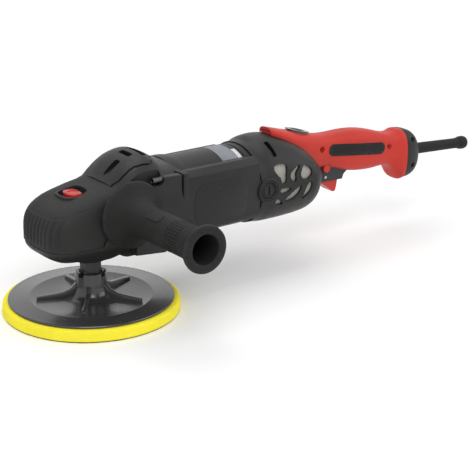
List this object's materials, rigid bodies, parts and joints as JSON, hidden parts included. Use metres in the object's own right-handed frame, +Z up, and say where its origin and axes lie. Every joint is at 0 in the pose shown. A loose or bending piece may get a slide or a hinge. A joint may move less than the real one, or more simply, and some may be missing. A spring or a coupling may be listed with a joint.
{
  "type": "rotary polisher",
  "caption": "Electric rotary polisher with a backing pad on a right-angle gear head, screwed-in side handle, vented motor body and a rear grip with trigger and speed dial.",
  "frame": {"origin": "centre of the pad's working face, on the spindle axis", "axes": "+Z up along the spindle, +X along the motor to the rear handle, side handle along -Y"},
  "size_m": [0.6153, 0.261, 0.1606],
  "materials": {
    "hook_fabric": "hook fabric",
    "yellow_foam": "closed-cell foam",
    "disc_plastic": "moulded, semi-gloss",
    "steel": "machined",
    "bright_screw": "bright zinc plated",
    "black_screw": "black oxide",
    "gear_steel": "case hardened, oiled",
    "case_metal": "black powder coat",
    "aluminium": "die cast",
    "head_rubber": "soft cover",
    "black_plastic": "fine texture",
    "grey_plastic": "fine texture",
    "red_plastic": "fine texture",
    "red_gloss": "smooth",
    "grip_rubber": "dimpled grip",
    "mesh": "fine pale mesh",
    "seal_rubber": "lip seal",
    "copper": "enamelled copper wire",
    "carbon": "pressed carbon",
    "lamination": "stacked laminations",
    "bezel_gloss": "glossy black",
    "fan_plastic": "moulded"
  },
  "bodies": {
    "housing": {"gear_case": "case_metal", "spindle_seal": "seal_rubber", "bearing_retainer_plate": "steel", "retainer_screws": "black_screw", "bearing_bracket": "aluminium", "bracket_screws": "black_screw", "head_cover": "head_rubber", "spindle_lock_spring": "steel", "fan_cowl": "black_plastic", "housing_screws": "bright_screw", "motor_housing": "black_plastic", "stator_core": "lamination", "field_coils": "copper", "brush_holders": "aluminium", "carbon_brushes": "carbon", "brush_springs": "steel", "brush_caps": "grey_plastic", "rear_cover": "black_plastic", "rear_bearing_seat": "grey_plastic", "vent_mesh": "mesh", "handle_shell_near": "red_plastic", "handle_shell_far": "red_plastic", "grip_inserts": "grip_rubber", "end_cap": "black_plastic", "handle_screws": "black_screw", "cord_guard": "head_rubber", "dial_bezel": "bezel_gloss", "speed_control": "black_plastic", "switch_surround": "grey_plastic", "trigger_pin": "steel", "switch_body": "black_plastic", "side_handle_grip": "grip_rubber", "side_handle_stud": "steel", "spindle_lower_outer_ring": "steel", "spindle_upper_outer_ring": "steel", "armature_front_outer_ring": "steel", "armature_rear_outer_ring": "steel"},
    "spindle_set": {"hook_face": "hook_fabric", "foam_pad": "yellow_foam", "backing_disc": "disc_plastic", "hub_insert": "steel", "spindle": "steel", "crown_gear": "gear_steel", "spindle_lower_inner_ring": "steel", "spindle_upper_inner_ring": "steel"},
    "armature": {"armature_shaft": "steel", "bevel_pinion": "gear_steel", "pinion_nut": "steel", "cooling_fan": "fan_plastic", "armature_core": "lamination", "armature_windings": "copper", "commutator": "copper", "armature_front_inner_ring": "steel", "armature_rear_inner_ring": "steel"},
    "trigger": {"trigger": "red_gloss"},
    "plunger": {"switch_plunger": "black_plastic"},
    "lock_on": {"lock_on_button": "red_gloss"},
    "dial": {"speed_dial": "grey_plastic"},
    "spindle_lock": {"spindle_lock_button": "red_gloss", "spindle_lock_pin": "steel"}
  },
  "joints": [
    {"name": "spindle_turn", "type": "hinge", "parent": "housing", "child": "spindle_set", "pos_m": [0, 0, 0.1], "axis": [0, 0, 1], "continuous": true},
    {"name": "armature_turn", "type": "hinge", "parent": "housing", "child": "armature", "pos_m": [0.1, 0, 0.1], "axis": [1, 0, 0], "continuous": true},
    {"name": "trigger_pull", "type": "hinge", "parent": "housing", "child": "trigger", "pos_m": [0.299, 0, 0.086], "axis": [0, -1, 0], "range_deg": [0, 12], "stiffness_Nm_per_rad": 0.6, "springref_deg": -11.46},
    {"name": "plunger_slide", "type": "slide", "parent": "housing", "child": "plunger", "axis": [0, 0, 1], "range_m": [0, 0.0029]},
    {"name": "lock_on_press", "type": "slide", "parent": "housing", "child": "lock_on", "axis": [0, 1, 0], "range_m": [0, 0.0024], "stiffness_N_per_m": 400, "springref_m": -0.002},
    {"name": "dial_turn", "type": "hinge", "parent": "housing", "child": "dial", "pos_m": [0.264, 0, 0.1432], "axis": [0.2504, 0, 0.9681], "range_deg": [-135, 135]},
    {"name": "spindle_lock_press", "type": "slide", "parent": "housing", "child": "spindle_lock", "axis": [0, 0, -1], "range_m": [0, 0.0045], "stiffness_N_per_m": 700, "springref_m": -0.003, "deforming": ["spindle_lock_spring"]}
  ],
  "couplings": [
    {"joint": "armature_turn", "follows": "spindle_turn", "ratio": 4.2222},
    {"joint": "plunger_slide", "follows": "trigger_pull", "m_per_rad": 0.013}
  ]
}
